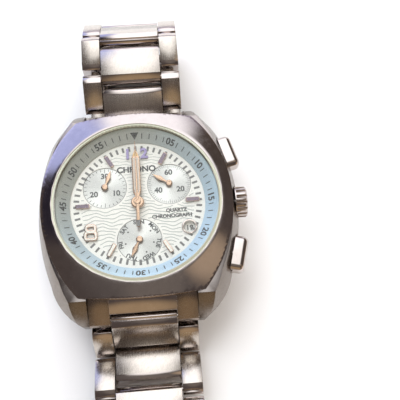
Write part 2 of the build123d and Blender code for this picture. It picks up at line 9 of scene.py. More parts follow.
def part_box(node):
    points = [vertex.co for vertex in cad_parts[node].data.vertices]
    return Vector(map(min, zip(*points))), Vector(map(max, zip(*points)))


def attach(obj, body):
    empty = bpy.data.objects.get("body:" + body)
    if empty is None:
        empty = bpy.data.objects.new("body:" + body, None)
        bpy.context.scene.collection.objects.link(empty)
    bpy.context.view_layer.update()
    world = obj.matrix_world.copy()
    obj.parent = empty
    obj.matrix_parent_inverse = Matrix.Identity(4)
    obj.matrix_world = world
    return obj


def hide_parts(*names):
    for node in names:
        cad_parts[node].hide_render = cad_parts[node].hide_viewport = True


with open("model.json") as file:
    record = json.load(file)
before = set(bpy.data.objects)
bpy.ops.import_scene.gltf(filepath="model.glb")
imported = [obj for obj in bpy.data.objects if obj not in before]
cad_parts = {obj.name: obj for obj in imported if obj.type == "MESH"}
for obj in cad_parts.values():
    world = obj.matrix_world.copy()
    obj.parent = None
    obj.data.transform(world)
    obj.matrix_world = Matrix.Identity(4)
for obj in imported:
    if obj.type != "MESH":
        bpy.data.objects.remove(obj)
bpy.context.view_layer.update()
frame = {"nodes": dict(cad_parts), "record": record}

MM = 0.001
NODES = frame["nodes"]
JOINTS = {joint["name"]: joint for joint in frame["record"]["behaviour"]["joints"]}
BODY_OF = {node: body for body, nodes in frame["record"]["behaviour"]["bodies"].items() for node in nodes}


def box_mm(node):
    """A node's lowest and highest corners, in millimetres."""
    low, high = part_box(node)
    return Vector(low) / MM, Vector(high) / MM


# ---- measures read from the frame, in millimetres -------------------------------------------
DIAL = box_mm("dial")[1].z
CRYSTAL_FOOT = box_mm("crystal")[0].z
FLANGE_LOW, FLANGE_HIGH = box_mm("flange_ring")
FLANGE_R = (FLANGE_HIGH.x - FLANGE_LOW.x) / 2
DIAL_R = 14.4                       # radius of the dial that shows inside the flange
SUB_R = 4.75                        # radius of the counters
PRINT_T = 0.012                     # thickness of what is printed on the dial
INLAY_LOW, INLAY_HIGH = DIAL + 0.40, DIAL + 0.46      # lume and plum inlays of the hour markers
DATE_SHOWN = 19


def pivot(joint):
    return Vector(JOINTS[joint]["pos_m"]) / MM


COUNTER = pivot("minute_counter_hand_turn")
SECONDS = pivot("small_seconds_hand_turn")
DAYS = pivot("day_hand_turn")
SUBS = (COUNTER, SECONDS, DAYS)
DATE_LOW, DATE_HIGH = box_mm("date_frame")
DATE = (DATE_LOW + DATE_HIGH) / 2


# ---- camera and light -------------------------------------------------------------------------
def make_camera():
    """The photograph's viewing angle: from the 6 o'clock side, about 22 degrees off the dial's normal."""
    camera = bpy.data.objects.new("camera", bpy.data.cameras.new("camera"))
    bpy.context.scene.collection.objects.link(camera)
    right = Vector((0.99637, -0.08301, 0.01896))
    up = Vector((0.06958, 0.92211, 0.38062))
    back = Vector((-0.04908, -0.37792, 0.92454))
    turn = Matrix((right, up, back)).transposed().to_4x4()
    place = Vector((6.82, -49.94, 121.65 + DIAL)) * MM
    camera.matrix_world = Matrix.Translation(place) @ turn
    camera.data.sensor_width = 36
    camera.data.lens = 55.28
    camera.data.clip_start = 0.005
    bpy.context.scene.camera = camera


def area_light(name, place, target, size, power, colour):
    lamp = bpy.data.lights.new(name, "AREA")
    lamp.shape = "RECTANGLE"
    lamp.size, lamp.size_y = size
    lamp.energy = power
    lamp.color = colour
    thing = bpy.data.objects.new(name, lamp)
    bpy.context.scene.collection.objects.link(thing)
    thing.location = place
    thing.visible_glossy = False      # the room makes the reflections
    thing.rotation_euler = (Vector(target) - Vector(place)).to_track_quat("-Z", "Y").to_euler()
    return thing


def make_world():
    """A dim warm room with a bright window high behind 12 o'clock, as metal sees it."""
    world = bpy.data.worlds.new("room")
    bpy.context.scene.world = world
    world.use_nodes = True
    tree = world.node_tree
    nodes, links = tree.nodes, tree.links
    nodes.clear()
    out = nodes.new("ShaderNodeOutputWorld")
    back = nodes.new("ShaderNodeBackground")
    coords = nodes.new("ShaderNodeTexCoord")
    split = nodes.new("ShaderNodeSeparateXYZ")
    links.new(coords.outputs["Generated"], split.inputs[0])
    lift = nodes.new("ShaderNodeMapRange")
    lift.inputs["From Min"].default_value = -1
    links.new(split.outputs["Z"], lift.inputs["Value"])
    ramp = nodes.new("ShaderNodeValToRGB")
    links.new(lift.outputs[0], ramp.inputs[0])
    for element, (place, colour) in zip(ramp_stops(ramp, len(ROOM)), ROOM):
        element.position = place
        element.color = (*colour, 1)
    colour = ramp.outputs[0]
    for towards, inner, outer, glow in PATCHES:
        dot = nodes.new("ShaderNodeVectorMath")
        dot.operation = "DOT_PRODUCT"
        links.new(coords.outputs["Generated"], dot.inputs[0])
        dot.inputs[1].default_value = Vector(towards).normalized()
        edge = nodes.new("ShaderNodeMapRange")
        edge.interpolation_type = "SMOOTHSTEP"
        edge.inputs["From Min"].default_value = math.cos(math.radians(outer))
        edge.inputs["From Max"].default_value = math.cos(math.radians(inner))
        links.new(dot.outputs["Value"], edge.inputs["Value"])
        mix = nodes.new("ShaderNodeMix")
        mix.data_type = "RGBA"
        links.new(edge.outputs[0], mix.inputs[0])
        links.new(colour, mix.inputs[6])
        mix.inputs[7].default_value = (*glow, 1)
        colour = mix.outputs[2]
    links.new(colour, back.inputs[0])
    links.new(back.outputs[0], out.inputs[0])


def ramp_stops(ramp, count):
    """The ramp's stops, as many as asked for, in order."""
    elements = ramp.color_ramp.elements
    for extra in range(count - 2):
        elements.new((extra + 1) / (count - 1))
    return elements


# the room by height, from straight down to straight up
ROOM = (
    (0.00, (0.20, 0.14, 0.10)), (0.44, (0.30, 0.22, 0.155)), (0.50, (0.34, 0.255, 0.175)), (0.58, (0.20, 0.15, 0.11)),
    (0.68, (0.11, 0.085, 0.07)), (0.90, (0.11, 0.09, 0.085)), (1.00, (0.22, 0.20, 0.19)),
)
# bright places: direction, angle of the even middle, angle where it ends, colour
PATCHES = (
    ((0.0, -0.90, 0.38), 8, 30, (0.50, 0.36, 0.22)),
    ((0.0, 1.0, 0.08), 14, 34, (0.50, 0.45, 0.58)),
    ((0.0, 0.30, 0.95), 12, 24, (1.6, 1.6, 1.6)),
    ((0.0, 0.62, 0.78), 14, 26, (2.1, 2.1, 2.15)),
    ((0.0, 0.86, 0.50), 12, 24, (1.9, 1.9, 2.0)),
    ((-0.55, 0.80, 0.25), 8, 24, (0.95, 1.05, 1.75)),
    ((-0.42, 0.76, 0.50), 6, 17, (0.75, 0.85, 1.45)),
    ((0.9, -0.5, 0.15), 8, 24, (0.80, 0.60, 0.42)),
    ((0.47, -0.12, 0.87), 5, 15, (0.62, 0.48, 0.35)),
    ((0.05, -0.36, 0.93), 6, 18, (0.24, 0.21, 0.19)),
    ((-0.60, 0.36, 0.72), 8, 20, (0.035, 0.03, 0.045)),
)


# ---- material tools ---------------------------------------------------------------------------
class Shader:
    """A new material with one Principled node, and short ways to add nodes to it."""

    def __init__(self, name, colour, metallic=0.0, roughness=0.5):
        self.material = bpy.data.materials.new(name)
        self.material.use_nodes = True
        self.tree = self.material.node_tree
        self.main = self.tree.nodes["Principled BSDF"]
        self.main.inputs["Base Color"].default_value = (*colour, 1)
        self.main.inputs["Metallic"].default_value = metallic
        self.main.inputs["Roughness"].default_value = roughness
        self.material.diffuse_color = (*colour, 1)

    def node(self, kind, **inputs):
        made = self.tree.nodes.new(kind)
        for key, value in inputs.items():
            made.inputs[key.replace("_", " ")].default_value = value
        return made

    def link(self, source, target):
        self.tree.links.new(source, target)

    def coords(self, stretch=(1, 1, 1), turn=(0, 0, 0)):
        """Object coordinates in millimetres, turned and stretched."""
        tex = self.node("ShaderNodeTexCoord")
        spin = self.node("ShaderNodeMapping")
        spin.inputs["Rotation"].default_value = turn
        self.link(tex.outputs["Object"], spin.inputs["Vector"])
        scale = self.node("ShaderNodeMapping")
        scale.inputs["Scale"].default_value = [value / MM for value in stretch]
        self.link(spin.outputs[0], scale.inputs["Vector"])
        return scale.outputs[0]

    def noise(self, vector, scale, detail=3.0, rough=0.6):
        made = self.node("ShaderNodeTexNoise", Scale=scale, Detail=detail, Roughness=rough)
        self.link(vector, made.inputs["Vector"])
        return made.outputs["Fac"]

    def spread(self, value, low, high, source=(0.3, 0.7)):
        made = self.node("ShaderNodeMapRange")
        made.inputs["From Min"].default_value, made.inputs["From Max"].default_value = source
        made.inputs["To Min"].default_value, made.inputs["To Max"].default_value = low, high
        self.link(value, made.inputs["Value"])
        return made.outputs["Result"]

    def math(self, operation, first, second):
        made = self.node("ShaderNodeMath")
        made.operation = operation
        for slot, value in enumerate((first, second)):
            if isinstance(value, (int, float)):
                made.inputs[slot].default_value = value
            else:
                self.link(value, made.inputs[slot])
        return made.outputs[0]

    def tint(self, factor, low, high):
        """Base colour that runs from one colour to another with a factor."""
        made = self.node("ShaderNodeMix")
        made.data_type = "RGBA"
        made.inputs[6].default_value = (*low, 1)
        made.inputs[7].default_value = (*high, 1)
        self.link(factor, made.inputs[0])
        self.link(made.outputs[2], self.main.inputs["Base Color"])
        return made.outputs[2]

    def bump(self, height, strength, distance=0.02):
        made = self.node("ShaderNodeBump", Strength=strength, Distance=distance * MM)
        self.link(height, made.inputs["Height"])
        self.link(made.outputs[0], self.main.inputs["Normal"])


def brushed_steel(name, turn=(0, 0, 0), colour=(0.60, 0.55, 0.50), rough=0.3, lines=(0.35, 14, 14), scratch=0.25):
    """Satin steel: fine lines one way, a few cross scratches and rubbed patches."""
    made = Shader(name, colour, 1.0, rough)
    line = made.noise(made.coords(lines, turn), 1.0, 4.0, 0.7)
    cross = made.noise(made.coords((3, 0.5, 3), (turn[0], turn[1], turn[2] + 0.5)), 1.6, 5.0, 0.75)
    patch = made.noise(made.coords((0.5, 1.6, 1.6), (0, 0, turn[2] + 0.35)), 1.0, 4.0, 0.7)
    mixed = made.math("ADD", made.math("MULTIPLY", line, 0.6), made.math("MULTIPLY", cross, 0.4))
    made.link(made.spread(mixed, rough - 0.09, rough + 0.13), made.main.inputs["Roughness"])
    dull = tuple(value * 0.80 for value in colour)
    made.tint(made.spread(made.math("ADD", made.math("MULTIPLY", patch, 0.5), made.math("MULTIPLY", line, 0.5)),
                          0, 1, (0.35, 0.65)), dull, colour)
    made.bump(mixed, scratch)
    return made.material


def polished_steel(name, colour=(0.62, 0.56, 0.53), rough=0.09):
    """Mirror steel with hairline scratches and faint handling marks."""
    made = Shader(name, colour, 1.0, rough)
    hair_a = made.noise(made.coords((0.5, 9, 9), (0, 0, 0.6)), 1.0, 5.0, 0.8)
    hair_b = made.noise(made.coords((8, 0.6, 8), (0, 0, -0.3)), 1.0, 5.0, 0.8)
    marks = made.noise(made.coords((0.5, 0.5, 0.5)), 1.0, 4.0)
    hair = made.math("MAXIMUM", hair_a, hair_b)
    made.link(made.spread(made.math("ADD", made.math("MULTIPLY", hair, 0.5), made.math("MULTIPLY", marks, 0.5)),
                          rough - 0.04, rough + 0.12, (0.4, 0.7)), made.main.inputs["Roughness"])
    made.tint(made.spread(marks, 0, 1), tuple(value * 0.9 for value in colour), colour)
    made.bump(hair, 0.12, 0.01)
    return made.material


def rose_gold(name, colour=(0.66, 0.47, 0.34), rough=0.24):
    made = Shader(name, colour, 1.0, rough)
    grain = made.noise(made.coords((6, 6, 6)), 1.0)
    made.link(made.spread(grain, rough - 0.06, rough + 0.08), made.main.inputs["Roughness"])
    made.tint(made.spread(grain, 0, 1), tuple(value * 0.9 for value in colour), colour)
    return made.material


def satin(name, colour, rough=0.45, grain=6.0, vary=0.06, bump=0.1, metallic=0.0):
    """Painted, printed or moulded surface with a fine grain and slight unevenness."""
    made = Shader(name, colour, metallic, rough)
    fine = made.noise(made.coords((grain, grain, grain)), 1.0)
    made.link(made.spread(fine, rough - 0.06, rough + 0.06), made.main.inputs["Roughness"])
    made.tint(made.spread(fine, 0, 1), tuple(value * (1 - vary) for value in colour), colour)
    made.bump(fine, bump, 0.01)
    return made.material


def flange_paint_with_painted_reflection(name):
    """Silvery paint of the flange with a painted reflection: grey on the 10 o'clock side, pale blue on the 4 o'clock
    side.
    """
    made = Shader(name, (0.60, 0.66, 0.68), 0.15, 0.38)
    tex = made.node("ShaderNodeTexCoord")
    split = made.node("ShaderNodeSeparateXYZ")
    made.link(tex.outputs["Object"], split.inputs[0])
    side = made.math("SUBTRACT", made.math("MULTIPLY", split.outputs["X"], 0.8), split.outputs["Y"])
    grain = made.noise(made.coords((5, 5, 5)), 1.0)
    # painted reflection: the colour runs from grey to pale blue across the flange by side, with a little random grain
    painted_reflection_blend = made.math("ADD", made.spread(side, 0, 1, (-0.016, 0.014)), made.spread(grain, -0.05, 0.05))
    made.tint(painted_reflection_blend, (0.36, 0.385, 0.36), (0.45, 0.60, 0.71))
    made.link(made.spread(grain, 0.32, 0.44), made.main.inputs["Roughness"])
    return made.material


def sunray_with_painted_sheen(name, centre, colour, shine=0.75, rough=0.34):
    """Circular-brushed silver with a radial grain, and a painted sheen: a lighter band fixed at one angle round a
    centre.
    """
    made = Shader(name, colour, shine, rough)
    tex = made.node("ShaderNodeTexCoord")
    offset = made.node("ShaderNodeVectorMath")
    offset.operation = "SUBTRACT"
    offset.inputs[1].default_value = [value * MM for value in centre]
    made.link(tex.outputs["Object"], offset.inputs[0])
    split = made.node("ShaderNodeSeparateXYZ")
    made.link(offset.outputs[0], split.inputs[0])
    angle = made.math("ARCTAN2", split.outputs["X"], split.outputs["Y"])
    join = made.node("ShaderNodeCombineXYZ")
    made.link(made.math("SINE", angle, 0), join.inputs[0])
    made.link(made.math("COSINE", angle, 0), join.inputs[1])
    ray = made.noise(join.outputs[0], 9.0, 5.0, 0.75)
    # painted highlight: the colour is made lighter towards one fixed angle round the centre
    painted_sheen_wedge = made.math("POWER", made.math("ABSOLUTE", made.math("COSINE", made.math("SUBTRACT", angle, 0.5), 0), 0), 3)
    grain_and_painted_sheen = made.math("ADD", made.math("MULTIPLY", ray, 0.45), made.math("MULTIPLY", painted_sheen_wedge, 0.5))
    made.tint(made.spread(grain_and_painted_sheen, 0, 1, (0.1, 0.75)), tuple(value * 0.62 for value in colour), colour)
    made.link(made.spread(ray, rough - 0.08, rough + 0.08), made.main.inputs["Roughness"])
    return made.material


def crystal_glass(name, mirror):
    """Thin clear pane: what is behind shows unbent, with a small mirror share."""
    made = Shader(name, (0.96, 0.98, 0.97), 0.0, 0.02)
    tree = made.tree
    tree.nodes.remove(made.main)
    clear = made.node("ShaderNodeBsdfTransparent")
    clear.inputs[0].default_value = (0.98, 0.98, 0.97, 1)
    gloss = made.node("ShaderNodeBsdfGlossy")
    smear = made.noise(made.coords((0.7, 0.7, 0.7)), 1.0, 5.0, 0.7)
    made.link(made.spread(smear, 0.01, 0.09), gloss.inputs["Roughness"])
    mix = made.node("ShaderNodeMixShader", Fac=mirror)
    made.link(clear.outputs[0], mix.inputs[1])
    made.link(gloss.outputs[0], mix.inputs[2])
    made.link(mix.outputs[0], tree.nodes["Material Output"].inputs["Surface"])
    return made.material


# ---- mesh tools -------------------------------------------------------------------------------
def add_piece(name, mesh, body, materials):
    piece = bpy.data.objects.new(name, mesh)
    bpy.context.scene.collection.objects.link(piece)
    mesh.materials.clear()
    for material in materials:
        mesh.materials.append(material)
    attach(piece, body)
    return piece


def mesh_from(name, points, faces, choices=None, smooth=35):
    """Mesh from millimetre points; choices gives each face's material slot."""
    mesh = bpy.data.meshes.new(name)
    mesh.from_pydata([Vector(point) * MM for point in points], [], faces)
    if choices:
        mesh.polygons.foreach_set("material_index", choices)
    mesh.validate()
    mesh.polygons.foreach_set("use_smooth", [True] * len(mesh.polygons))
    mesh.set_sharp_from_angle(angle=math.radians(smooth))
    return mesh


def baked(piece):
    """Applies a piece's modifiers."""
    graph = bpy.context.evaluated_depsgraph_get()
    bpy.context.view_layer.update()
    mesh = bpy.data.meshes.new_from_object(piece.evaluated_get(graph))
    piece.modifiers.clear()
    piece.data = mesh
    return piece


def refined(node, materials, choose=None, bevel=0.12, angle=30, dissolve=0.8):
    """A CAD node's shape with broken edges and its own finish on each face, in the node's place."""
    mesh = NODES[node].data.copy()
    mesh.name = node + "_surface"
    work = bmesh.new()
    work.from_mesh(mesh)
    bmesh.ops.remove_doubles(work, verts=work.verts, dist=1e-6)
    bmesh.ops.dissolve_limit(work, angle_limit=math.radians(dissolve), verts=work.verts, edges=work.edges)
    work.to_mesh(mesh)
    work.free()
    piece = add_piece(node + "_surface", mesh, BODY_OF[node], materials)
    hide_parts(node)
    if choose:
        for face in mesh.polygons:
            face.material_index = choose(face.center / MM, face.normal)
    else:
        mesh.polygons.foreach_set("material_index", [0] * len(mesh.polygons))
    if bevel:
        tool = piece.modifiers.new("edges", "BEVEL")
        tool.width = bevel * MM
        tool.segments = 2
        tool.limit_method = "ANGLE"
        tool.angle_limit = math.radians(angle)
        tool.use_clamp_overlap = True
        tool.harden_normals = False
        baked(piece)
    piece.data.polygons.foreach_set("use_smooth", [True] * len(piece.data.polygons))
    piece.data.set_sharp_from_angle(angle=math.radians(38))
    return piece


def dressed(node, material):
    """Finish of a CAD node that keeps its own shape."""
    if not NODES[node].data.materials:
        NODES[node].data.materials.append(material)
    for slot in NODES[node].material_slots:
        slot.material = material


def turned(profile, steps=256, centre=(0, 0), closed=True):
    """Points and faces of a profile of (radius, height) turned about an upright axis."""
    points, faces = [], []
    count = len(profile)
    for step in range(steps):
        turn = 2 * math.pi * step / steps
        for radius, height in profile:
            points.append((centre[0] + radius * math.sin(turn), centre[1] + radius * math.cos(turn), height))
    for step in range(steps):
        ahead = (step + 1) % steps
        for k in range(count if closed else count - 1):
            nxt = (k + 1) % count
            faces.append((step * count + k, step * count + nxt, ahead * count + nxt, ahead * count + k))
    return points, faces


def rounded(wide, tall, radius, steps=6):
    """Anticlockwise outline of a rounded rectangle."""
    outline = []
    for quarter, (sx, sy) in enumerate(((1, 1), (-1, 1), (-1, -1), (1, -1))):
        for step in range(steps + 1):
            turn = (quarter + step / steps) * math.pi / 2
            outline.append((sx * (wide / 2 - radius) + radius * math.cos(turn),
                            sy * (tall / 2 - radius) + radius * math.sin(turn)))
    return outline


class Gather:
    """Collects many small solids of one finish into one mesh."""

    def __init__(self):
        self.points, self.faces = [], []

    def add(self, points, faces):
        base = len(self.points)
        self.points += [tuple(point) for point in points]
        self.faces += [tuple(base + k for k in face) for face in faces]

    def prism(self, outline, low, high, place=Matrix()):
        """Upright prism of a 2-D outline (anticlockwise), moved by a matrix in millimetres."""
        count = len(outline)
        ring = [place @ Vector((x, y, low)) for x, y in outline] + [place @ Vector((x, y, high)) for x, y in outline]
        faces = [tuple(range(count - 1, -1, -1)), tuple(range(count, 2 * count))]
        faces += [(k, (k + 1) % count, count + (k + 1) % count, count + k) for k in range(count)]
        self.add(ring, faces)

    def band(self, outer, inner, low, high, place=Matrix()):
        """Upright band between two outlines of as many points each."""
        count = len(outer)
        rings = [place @ Vector((x, y, z)) for z, ring in ((low, outer), (high, outer), (high, inner), (low, inner))
                 for x, y in ring]
        faces = [(a * count + k, a * count + (k + 1) % count, (a + 1) % 4 * count + (k + 1) % count,
                  (a + 1) % 4 * count + k) for a in range(4) for k in range(count)]
        self.add(rings, faces)

    def bar(self, width, inner, outer, low, high, place=Matrix()):
        """Rectangular bar along +Y."""
        half = width / 2
        self.prism([(-half, inner), (half, inner), (half, outer), (-half, outer)], low, high, place)

    def text(self, words, size, thick, place, bold=0.0):
        """Plain lettering lying in the XY plane of a matrix, centred, letters' top along +Y."""
        curve = bpy.data.curves.new("lettering", "FONT")
        curve.body = words
        curve.size = size
        curve.align_x, curve.align_y = "CENTER", "CENTER"
        curve.extrude = thick / 2
        curve.offset = bold
        curve.resolution_u = 6
        holder = bpy.data.objects.new("lettering", curve)
        bpy.context.scene.collection.objects.link(holder)
        graph = bpy.context.evaluated_depsgraph_get()
        bpy.context.view_layer.update()
        mesh = bpy.data.meshes.new_from_object(holder.evaluated_get(graph))
        lift = Matrix.Translation((0, 0, thick / 2))
        self.add([place @ lift @ vertex.co for vertex in mesh.vertices], [tuple(f.vertices) for f in mesh.polygons])
        bpy.data.objects.remove(holder)
        bpy.data.curves.remove(curve)
        bpy.data.meshes.remove(mesh)

    def piece(self, name, body, material, slot, smooth=35):
        return add_piece(name, mesh_from(name, self.points, self.faces, smooth=smooth), body, [material])


def clockwise(degrees, centre=(0, 0), height=0.0):
    """Matrix that turns clockwise from 12 about a point and lifts."""
    return Matrix.Translation((centre[0], centre[1], height)) @ Matrix.Rotation(-math.radians(degrees), 4, "Z")


# ---- finishes ---------------------------------------------------------------------------------
# painted shade: the case, flank and end-link steels are darker, warmer copies of the bracelet's steel, standing in
# for the dim warm light on them
SHADED_STEEL = brushed_steel("steel_brushed_case_painted_shade", turn=(0, 0, math.pi / 2), colour=(0.36, 0.31, 0.27), rough=0.24)
BRIGHT = polished_steel("steel_polished")
BEZEL_POLISH = polished_steel("steel_polished_bezel", (0.56, 0.51, 0.49), 0.10)
SHADED_FLANK = brushed_steel("steel_flanks_painted_shade", turn=(0, 0, math.pi / 2), colour=(0.30, 0.265, 0.235), rough=0.26)
SHADED_CASE_POLISH = polished_steel("steel_polished_case_painted_shade", (0.37, 0.335, 0.32), 0.13)
ROSE = rose_gold("rose_gold")
LUME = satin("lume", (0.80, 0.80, 0.74), 0.6)
HAND_LUME = satin("hand_lume", (0.60, 0.54, 0.47), 0.5)
TIP_LUME = satin("tip_lume", (0.62, 0.42, 0.12), 0.5)
MARKER = rose_gold("marker_gold", (0.62, 0.48, 0.40), 0.22)
SILVER_RIM = rose_gold("date_rim", (0.70, 0.64, 0.60), 0.2)
PLUM = rose_gold("marker_plum", (0.19, 0.155, 0.19), 0.3)
TWELVE = rose_gold("marker_twelve", (0.25, 0.22, 0.36), 0.25)
PRINT = satin("print_dark", (0.05, 0.055, 0.055), 0.5)
GREY_PRINT = satin("print_grey", (0.16, 0.165, 0.16), 0.5)
LINE_PRINT = satin("print_lines", (0.36, 0.40, 0.38), 0.5)
WHITE = satin("dial_white", (0.80, 0.805, 0.77), 0.42)
GLASS = crystal_glass("crystal_glass", 0.02)
RIM_GLASS = satin("crystal_edge", (0.66, 0.67, 0.55), 0.18)
SHADED_END_LINK_STEEL = brushed_steel("steel_end_links_painted_shade", turn=(0, 0, math.pi / 2), colour=(0.38, 0.325, 0.285), rough=0.22)
CLASP = brushed_steel("steel_clasp", turn=(0, 0, math.pi / 2), colour=(0.62, 0.59, 0.56))
FLANGE = flange_paint_with_painted_reflection("flange_paint_with_painted_reflection")
FINISHES = {
    "case_back_gasket": satin("rubber", (0.03, 0.03, 0.03), 0.6),
    "crystal_gasket": satin("seal_champagne", (0.72, 0.74, 0.58), 0.4),
    "movement_holder": satin("holder_plastic", (0.78, 0.77, 0.74), 0.5),
    "main_plate": brushed_steel("plate_plated", colour=(0.72, 0.66, 0.50)),
    "train_bridge": brushed_steel("bridge_plated", colour=(0.70, 0.64, 0.48)),
    "circuit_board": satin("board_green", (0.05, 0.20, 0.11), 0.4),
    "coin_cell": brushed_steel("cell_steel", colour=(0.66, 0.66, 0.66)),
    "stepper_motors": satin("coil_copper", (0.60, 0.28, 0.12), 0.35, metallic=0.8),
}


make_camera()
make_world()


# ---- crystal, bezel and case --------------------------------------------------------------
refined("bezel", [BEZEL_POLISH], bevel=0.12, dissolve=0.2)
pane = refined("crystal", [GLASS, RIM_GLASS], lambda place, normal: 1 if abs(normal.z) < 0.9 else 0, bevel=0,
               dissolve=0.2)
# the underside stands clear of the flange's top
for vertex in pane.data.vertices:
    if vertex.co.z < (CRYSTAL_FOOT + 0.1) * MM:
        vertex.co.z += 0.04 * MM


def case_finish(place, normal):
    """Brushed flanks and lug tops, mirror-polished where the bezel sits."""
    if abs(normal.z) < 0.8:
        return 2
    return 0 if abs(place.y) > 21.5 else 1


def end_link_finish(place, normal):
    """Polished centre, brushed sides."""
    return 1 if abs(place.x) < 6.8 and abs(normal.x) < 0.5 else 0


# the case's darker steels carry painted shade
refined("case_middle", [SHADED_STEEL, SHADED_CASE_POLISH, SHADED_FLANK], case_finish, bevel=0.18)
for end_link in ("upper_end_link", "lower_end_link"):
    refined(end_link, [SHADED_END_LINK_STEEL, BRIGHT], end_link_finish, bevel=0.12)
refined("case_back", [BRIGHT], bevel=0.15)
refined("crown", [BRIGHT], bevel=0.08)
for pusher in ("upper_pusher", "lower_pusher"):
    refined(pusher, [BRIGHT], bevel=0, dissolve=0.2)


# ---- bracelet -------------------------------------------------------------------------------
def dress_link(node, hinge, ahead):
    """Brushed top and underside, mirror-polished bevels and ends, and the darker case steel on the sides as painted
    shade, judged in the link's own tilt.
    """
    along = (ahead - pivot(hinge)).normalized()
    out = Vector((1, 0, 0)).cross(along)      # the wearer's side or its opposite; both are brushed

    def finish(place, normal):
        if abs(normal.dot(out)) > 0.985:
            return 0
        # faces that look sideways take the darker case steel: painted shade on the link's sides
        return 2 if abs(normal.x) > 0.9 else 1

    brush = brushed_steel("steel_" + node, turn=(-math.atan2(along.z, along.y), 0, math.pi / 2),
                          rough=0.22, colour=(0.70, 0.645, 0.585))
    refined(node, [brush, BRIGHT, SHADED_STEEL], finish, bevel=0.13)


for half, count in (("upper", 6), ("lower", 5)):
    for number in range(1, count + 1):
        hinge = f"{half}_hinge_{number}"
        if number < count:
            ahead = pivot(f"{half}_hinge_{number + 1}")
        elif half == "upper":
            ahead = pivot("clasp_arm_hinge")
        else:
            ahead = pivot(hinge) + (pivot(hinge) - pivot(f"lower_hinge_{number - 1}"))
        dress_link(f"{half}_link_{number}", hinge, ahead)
for number in range(1, 7):
    dressed(f"upper_pin_{number}", BRIGHT)
for number in range(1, 5):
    dressed(f"lower_pin_{number}", BRIGHT)
for node in ("spring_bars", "arm_pin", "cover_bars", "crown_tube", "stem", "setting_lever", "pusher_springs"):
    dressed(node, BRIGHT)
for node in ("fold_arm_inner", "fold_arm_outer", "clasp_cover"):
    refined(node, [CLASP, BRIGHT], lambda place, normal: 0 if abs(normal.z) > 0.9 else 1, bevel=0.12)

# ---- seals and movement ---------------------------------------------------------------------
for node, finish in FINISHES.items():
    dressed(node, finish)


# ---- flange -----------------------------------------------------------------------------------
def flange_height(radius):
    """Height of the sloping flange at a radius."""
    inner, outer = DIAL_R, FLANGE_R - 0.4
    share = (radius - inner) / (outer - inner)
    return DIAL + 0.35 + share * (FLANGE_HIGH.z - DIAL - 0.35)


FLANGE_TILT = math.atan2(FLANGE_HIGH.z - DIAL - 0.35, FLANGE_R - 0.4 - DIAL_R)
refined("flange_ring", [FLANGE], bevel=0, dissolve=0.1)
FLANGE_MID = (DIAL_R + FLANGE_R - 0.4) / 2
BODY = BODY_OF["dial"]


def on_flange(degrees, radius, lift=0.01):
    """Plane on the flange's slope, Y outwards."""
    place = clockwise(degrees) @ Matrix.Translation((0, radius, flange_height(radius) + lift))
    return place @ Matrix.Rotation(FLANGE_TILT, 4, "X")


marks = Gather()
for minute in range(60):
    if minute % 5:
        marks.bar(0.19, -0.6, 0.6, 0, PRINT_T, on_flange(minute * 6, FLANGE_MID))
for number in range(5, 60, 5):
    marks.text(f"{number:02d}", 2.05, PRINT_T, on_flange(number * 6, FLANGE_MID), bold=0.065)
marks.prism([(0, -0.8), (0.95, 0.8), (-0.95, 0.8)], 0, PRINT_T, on_flange(0, FLANGE_MID))
marks.piece("flange_numbers", BODY, PRINT, "dial_paint")

# ---- dial -------------------------------------------------------------------------------------
refined("dial", [WHITE], bevel=0, dissolve=0.1)
bars = Gather()
for minute in range(60):
    bars.bar(0.48 if minute % 5 else 0.54, 12.5, 13.7, 0, PRINT_T, clockwise(minute * 6, height=DIAL))
bars.piece("minute_bars", BODY, GREY_PRINT, "dial_paint")


def in_counters(x, y, reach):
    return any(math.hypot(x - sub.x, y - sub.y) < reach for sub in SUBS)


def wave(x, row):
    """Height of one printed wavy line at a distance across the dial."""
    swell = 0.34 if row < 1.5 else 0.16
    return row + swell * math.sin(x * 1.05 + row * 0.55) + 0.1 * math.sin(x * 2.3 - row * 1.3)


def wave_clear(x, y):
    inside = math.hypot(x, y) < 12.1 and not in_counters(x, y, SUB_R + 0.3)
    return inside and math.hypot(x - DATE.x, y - DATE.y) > 1.8


# fine wavy lines across the centre of the dial, left clear round the counters
waves = Gather()
WAVE_STEP, WAVE_GAP = 0.2, 0.8
for count in range(30):
    row = count * WAVE_GAP - 11.6
    half = 0.085 if row < 1.5 else 0.06
    across = [k * WAVE_STEP - 12.0 for k in range(121)]
    for xa, xb in zip(across, across[1:]):
        ya, yb = wave(xa, row), wave(xb, row)
        if wave_clear(xa, ya) and wave_clear(xb, yb):
            waves.prism([(xa, ya - half), (xb, yb - half), (xb, yb + half), (xa, ya + half)], DIAL, DIAL + 0.01)
waves.piece("dial_wave_lines", BODY, LINE_PRINT, "dial_paint")

# counters: brushed silver disc with a painted sheen, dark outline and their own scales
SINK = 0.12
for name, sub in zip(("counter_minutes", "counter_seconds", "counter_days"), SUBS):
    floor = DIAL - SINK
    points, faces = turned([(0.36, floor), (0.36, floor + 0.01), (SUB_R - 0.02, floor + 0.01), (SUB_R - 0.02, floor)],
                           128, (sub.x, sub.y))
    add_piece(name + "_disc", mesh_from(name + "_disc", points, faces), BODY,
              [sunray_with_painted_sheen(name + "_silver", sub, (0.74, 0.76, 0.74))])
    rim = Gather()
    rim.add(*turned([(SUB_R - 0.14, floor + 0.01), (SUB_R - 0.14, floor + 0.03), (SUB_R - 0.03, floor + 0.03),
                     (SUB_R - 0.03, floor + 0.01)], 128, (sub.x, sub.y)))
    rim.piece(name + "_rim", BODY, GREY_PRINT, "dial_paint")

scale = Gather()
floor = DIAL - SINK + 0.01


